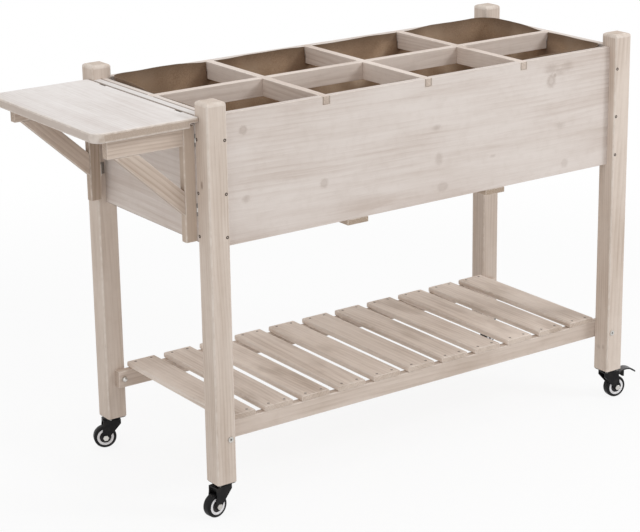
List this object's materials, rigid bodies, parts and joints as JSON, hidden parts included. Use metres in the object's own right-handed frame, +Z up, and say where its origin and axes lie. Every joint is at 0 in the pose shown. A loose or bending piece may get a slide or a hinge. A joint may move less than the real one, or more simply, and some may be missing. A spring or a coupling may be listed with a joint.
{
  "type": "raised planter",
  "caption": "Wooden raised planter on swivel casters with a divided, lined growing bed, a slatted lower shelf and a hinged side table leaf on swing-out brackets.",
  "frame": {"origin": "on the floor under the middle of the whole length, leaf and brake pedals included, and of the bed's depth", "axes": "+Z up, X along the bed with the table leaf at -X, Y across the bed with the front at -Y"},
  "size_m": [1.379, 0.5001, 0.857],
  "materials": {
    "wood": "whitewashed, matt",
    "liner_cloth": "felted cloth",
    "hinge_steel": "zinc plated",
    "caster_steel": "black, satin",
    "axle_steel": "zinc plated",
    "wheel_tyre": "matt",
    "wheel_hub": "gloss",
    "pedal_plastic": "matt"
  },
  "bodies": {
    "frame": {"leg_front_left": "wood", "leg_front_right": "wood", "leg_back_left": "wood", "leg_back_right": "wood", "panel_front": "wood", "panel_back": "wood", "panel_left": "wood", "panel_right": "wood", "floor_boards": "wood", "floor_battens": "wood", "liner": "liner_cloth", "divider_long": "wood", "divider_cross_1": "wood", "divider_cross_2": "wood", "divider_cross_3": "wood", "shelf_rail_front": "wood", "shelf_rail_back": "wood", "shelf_slat_01": "wood", "shelf_slat_02": "wood", "shelf_slat_03": "wood", "shelf_slat_04": "wood", "shelf_slat_05": "wood", "shelf_slat_06": "wood", "shelf_slat_07": "wood", "shelf_slat_08": "wood", "shelf_slat_09": "wood", "shelf_slat_10": "wood", "shelf_slat_11": "wood", "hinge_strip": "wood", "fixed_hinge_plates": "hinge_steel", "caster_plates": "caster_steel"},
    "leaf": {"table_leaf": "wood", "leaf_hinge_plates": "hinge_steel"},
    "bracket_front": {"bracket_front_upright": "wood", "bracket_front_arm": "wood", "bracket_front_brace": "wood", "bracket_front_hinge_plates": "hinge_steel"},
    "bracket_back": {"bracket_back_upright": "wood", "bracket_back_arm": "wood", "bracket_back_brace": "wood", "bracket_back_hinge_plates": "hinge_steel"},
    "caster_front_left_swivel": {"caster_front_left_fork": "caster_steel", "caster_front_left_axle": "axle_steel"},
    "caster_front_left_wheel": {"caster_front_left_tyre": "wheel_tyre", "caster_front_left_hub": "wheel_hub"},
    "caster_front_right_swivel": {"caster_front_right_fork": "caster_steel", "caster_front_right_axle": "axle_steel"},
    "caster_front_right_wheel": {"caster_front_right_tyre": "wheel_tyre", "caster_front_right_hub": "wheel_hub"},
    "caster_front_right_brake": {"caster_front_right_pedal": "pedal_plastic"},
    "caster_back_left_swivel": {"caster_back_left_fork": "caster_steel", "caster_back_left_axle": "axle_steel"},
    "caster_back_left_wheel": {"caster_back_left_tyre": "wheel_tyre", "caster_back_left_hub": "wheel_hub"},
    "caster_back_right_swivel": {"caster_back_right_fork": "caster_steel", "caster_back_right_axle": "axle_steel"},
    "caster_back_right_wheel": {"caster_back_right_tyre": "wheel_tyre", "caster_back_right_hub": "wheel_hub"},
    "caster_back_right_brake": {"caster_back_right_pedal": "pedal_plastic"}
  },
  "joints": [
    {"name": "leaf_lift", "type": "hinge", "parent": "frame", "child": "leaf", "pos_m": [-0.46549, 0, 0.8127], "axis": [0, 1, 0], "range_deg": [0, 8]},
    {"name": "bracket_front_swing", "type": "hinge", "parent": "frame", "child": "bracket_front", "pos_m": [-0.45779, -0.1966, 0.708], "axis": [0, 0, -1], "range_deg": [0, 90]},
    {"name": "bracket_back_swing", "type": "hinge", "parent": "frame", "child": "bracket_back", "pos_m": [-0.45779, 0.1966, 0.708], "axis": [0, 0, 1], "range_deg": [0, 90]},
    {"name": "caster_front_left_swivel_turn", "type": "hinge", "parent": "frame", "child": "caster_front_left_swivel", "pos_m": [-0.43769, -0.2215, 0.064], "axis": [0, 0, 1], "continuous": true},
    {"name": "caster_front_left_wheel_spin", "type": "hinge", "parent": "caster_front_left_swivel", "child": "caster_front_left_wheel", "pos_m": [-0.45749, -0.22428, 0.025], "axis": [0.1392, -0.9903, 0], "continuous": true},
    {"name": "caster_front_right_swivel_turn", "type": "hinge", "parent": "frame", "child": "caster_front_right_swivel", "pos_m": [0.61731, -0.2215, 0.064], "axis": [0, 0, 1], "continuous": true},
    {"name": "caster_front_right_wheel_spin", "type": "hinge", "parent": "caster_front_right_swivel", "child": "caster_front_right_wheel", "pos_m": [0.63706, -0.22463, 0.025], "axis": [0.1564, 0.9877, 0], "continuous": true},
    {"name": "caster_front_right_brake_press", "type": "hinge", "parent": "caster_front_right_swivel", "child": "caster_front_right_brake", "pos_m": [0.63509, -0.22432, 0.0565], "axis": [0.1564, 0.9877, 0], "range_deg": [0, 8]},
    {"name": "caster_back_left_swivel_turn", "type": "hinge", "parent": "frame", "child": "caster_back_left_swivel", "pos_m": [-0.43769, 0.2215, 0.064], "axis": [0, 0, 1], "continuous": true},
    {"name": "caster_back_left_wheel_spin", "type": "hinge", "parent": "caster_back_left_swivel", "child": "caster_back_left_wheel", "pos_m": [-0.45648, 0.22834, 0.025], "axis": [-0.342, -0.9397, 0], "continuous": true},
    {"name": "caster_back_right_swivel_turn", "type": "hinge", "parent": "frame", "child": "caster_back_right_swivel", "pos_m": [0.61731, 0.2215, 0.064], "axis": [0, 0, 1], "continuous": true},
    {"name": "caster_back_right_wheel_spin", "type": "hinge", "parent": "caster_back_right_swivel", "child": "caster_back_right_wheel", "pos_m": [0.63611, 0.22834, 0.025], "axis": [-0.342, 0.9397, 0], "continuous": true},
    {"name": "caster_back_right_brake_press", "type": "hinge", "parent": "caster_back_right_swivel", "child": "caster_back_right_brake", "pos_m": [0.63423, 0.22766, 0.0565], "axis": [-0.342, 0.9397, 0], "range_deg": [0, 8]}
  ]
}
